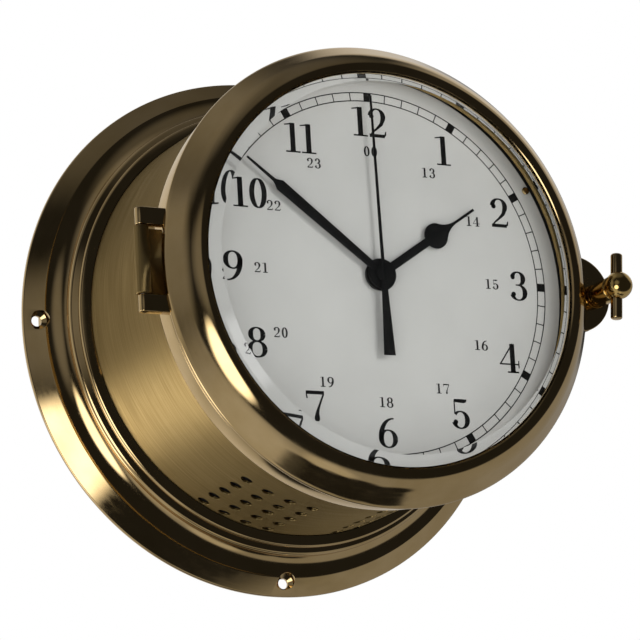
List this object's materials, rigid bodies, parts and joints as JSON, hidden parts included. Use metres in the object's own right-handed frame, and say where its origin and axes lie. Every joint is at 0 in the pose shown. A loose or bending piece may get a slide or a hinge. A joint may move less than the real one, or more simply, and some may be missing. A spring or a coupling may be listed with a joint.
{
  "type": "ship's clock",
  "caption": "Brass ship's clock on a screw-down wall flange, with a hinged glazed bezel shut by a cross-bar screw and three coupled hands on a plain numbered dial.",
  "frame": {"origin": "centre of the wall flange's back plane", "axes": "dial faces -Y, 12 o'clock is +Z, 3 o'clock is +X, wall on the +Y side"},
  "size_m": [0.18, 0.1029, 0.18],
  "materials": {
    "polished_brass": "polished and lacquered",
    "satin_brass": "fine brushed and lacquered",
    "gold_brass": "polished",
    "steel": "plain turned or pressed steel",
    "dial_paint": "matt off-white paint with black print",
    "hand_paint": "black satin paint",
    "glass": "clear, bevelled at the edge",
    "black_steel": "black painted pressed steel",
    "rubber": "matt",
    "black_plastic": "moulded",
    "speaker_paper": "pressed cone",
    "ferrite": "sintered magnet, dark grey",
    "cell_wrap": "plain printed sleeve on a steel can"
  },
  "bodies": {
    "case": {"mounting_flange": "polished_brass", "case_drum": "satin_brass", "case_front_ring": "polished_brass", "hinge_pin": "steel", "dial_seat_ring": "black_plastic", "dial_plate": "dial_paint", "dial_screw_1": "polished_brass", "dial_screw_2": "polished_brass", "dial_screw_3": "polished_brass", "movement_front_shell": "black_plastic", "movement_rear_cover": "black_plastic", "mounting_nut": "polished_brass", "rubber_washer": "rubber", "battery_cell": "cell_wrap", "contact_minus": "steel", "contact_plus": "steel", "speaker_bracket": "black_steel", "speaker_frame": "black_steel", "speaker_cone": "speaker_paper", "speaker_magnet": "ferrite"},
    "bezel": {"bezel_ring": "polished_brass", "glass_crystal": "glass", "glass_gasket": "rubber", "glass_retaining_ring": "satin_brass"},
    "latch_slider": {"latch_washer": "gold_brass"},
    "latch_screw": {"latch_screw": "gold_brass", "latch_cross_bar": "gold_brass"},
    "hour": {"hour_hand": "hand_paint", "hour_tube": "satin_brass"},
    "minute": {"minute_hand": "hand_paint", "minute_arbor": "satin_brass"},
    "second": {"second_hand": "hand_paint", "second_arbor": "steel"},
    "knob": {"setting_knob": "black_plastic"}
  },
  "joints": [
    {"name": "bezel_swing", "type": "hinge", "parent": "case", "child": "bezel", "pos_m": [-0.083, -0.0832, 0], "axis": [0, 0, -1], "range_deg": [0, 110]},
    {"name": "latch_slide", "type": "slide", "parent": "bezel", "child": "latch_slider", "axis": [0, -1, 0], "range_m": [0, 0.0045]},
    {"name": "latch_turn", "type": "hinge", "parent": "latch_slider", "child": "latch_screw", "pos_m": [0.08199, -0.085, -0.00143], "axis": [0, -1, 0], "range_deg": [0, 2314]},
    {"name": "minute_turn", "type": "hinge", "parent": "case", "child": "minute", "pos_m": [0, -0.08085, 0], "axis": [0, 1, 0], "continuous": true},
    {"name": "hour_turn", "type": "hinge", "parent": "case", "child": "hour", "pos_m": [0, -0.08085, 0], "axis": [0, 1, 0], "continuous": true},
    {"name": "second_turn", "type": "hinge", "parent": "case", "child": "second", "pos_m": [0, -0.08085, 0], "axis": [0, 1, 0], "continuous": true},
    {"name": "knob_turn", "type": "hinge", "parent": "case", "child": "knob", "pos_m": [0.014, -0.058, 0.008], "axis": [0, 1, 0], "continuous": true}
  ],
  "couplings": [
    {"joint": "hour_turn", "follows": "minute_turn", "ratio": 0.083333},
    {"joint": "second_turn", "follows": "minute_turn", "ratio": 60},
    {"joint": "knob_turn", "follows": "minute_turn", "ratio": -1},
    {"joint": "latch_slide", "follows": "latch_turn", "m_per_rad": 0.00011141}
  ]
}
